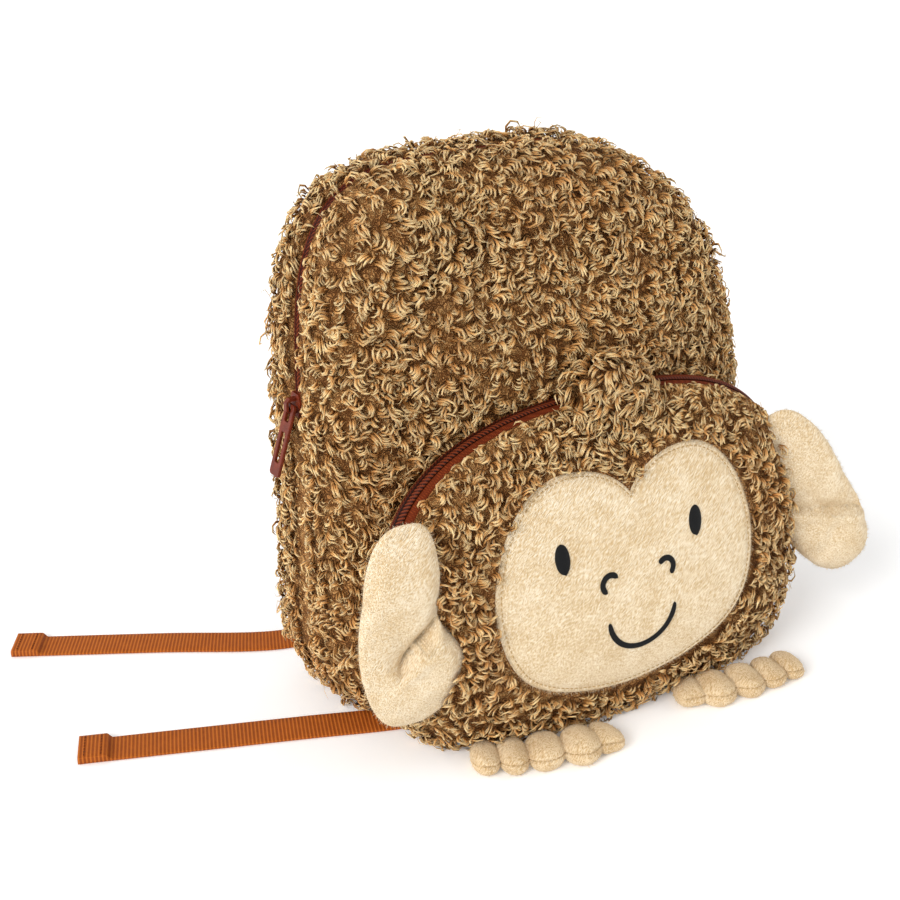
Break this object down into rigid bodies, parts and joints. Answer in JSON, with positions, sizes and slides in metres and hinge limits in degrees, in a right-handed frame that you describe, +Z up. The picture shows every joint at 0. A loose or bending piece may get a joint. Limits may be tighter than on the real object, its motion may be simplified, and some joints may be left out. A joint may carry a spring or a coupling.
{
  "type": "plush animal backpack",
  "caption": "Toddler's curly plush backpack with a monkey's face on its front pocket, stuffed ears and feet, zips and webbing straps.",
  "frame": {"origin": "on the floor under the middle of the main bag's flat base", "axes": "+Z up, -Y out of the bag's front, +X to the bag's right as its face is seen"},
  "size_m": [0.4321, 0.2824, 0.2897],
  "materials": {
    "curly_pile": "curly teddy pile, tan with darker roots",
    "cream_velvet": "short cream plush",
    "brown_cloth": "plain woven red-brown cloth",
    "brown_web": "ribbed woven webbing",
    "zip_coil": "woven-in nylon coil",
    "painted_metal": "brick brown enamel, satin",
    "matte_plastic": "plain moulded brown plastic",
    "black_thread": "black satin stitch"
  },
  "bodies": {
    "bag": {"front_panel": "curly_pile", "back_panel": "brown_cloth", "zip_gusset_front": "curly_pile", "zip_gusset_back": "curly_pile", "base_gusset": "curly_pile", "main_zip_tape": "brown_cloth", "main_zip_chain": "zip_coil", "main_zip_slider": "painted_metal", "pocket_front": "curly_pile", "pocket_gusset_top": "curly_pile", "pocket_gusset_base": "curly_pile", "pocket_zip_tape": "brown_cloth", "pocket_zip_chain": "zip_coil", "face_patch": "cream_velvet", "eye_left": "black_thread", "eye_right": "black_thread", "nostril_left": "black_thread", "nostril_right": "black_thread", "mouth": "black_thread", "ear_left": "cream_velvet", "ear_right": "cream_velvet", "foot_left": "cream_velvet", "foot_right": "cream_velvet", "hair_tuft": "curly_pile", "shoulder_strap_left": "brown_cloth", "shoulder_strap_right": "brown_cloth", "strap_adjuster_left": "matte_plastic", "strap_adjuster_right": "matte_plastic", "lower_web_left": "brown_web", "lower_web_right": "brown_web", "strap_tail_left": "brown_web", "strap_tail_right": "brown_web"},
    "zip_pull": {"main_zip_pull": "painted_metal"}
  },
  "joints": [
    {"name": "zip_pull_swing", "type": "hinge", "parent": "bag", "child": "zip_pull", "pos_m": [-0.13772, -0.00091, 0.17766], "axis": [0, 1, 0], "range_deg": [0, 135]}
  ]
}
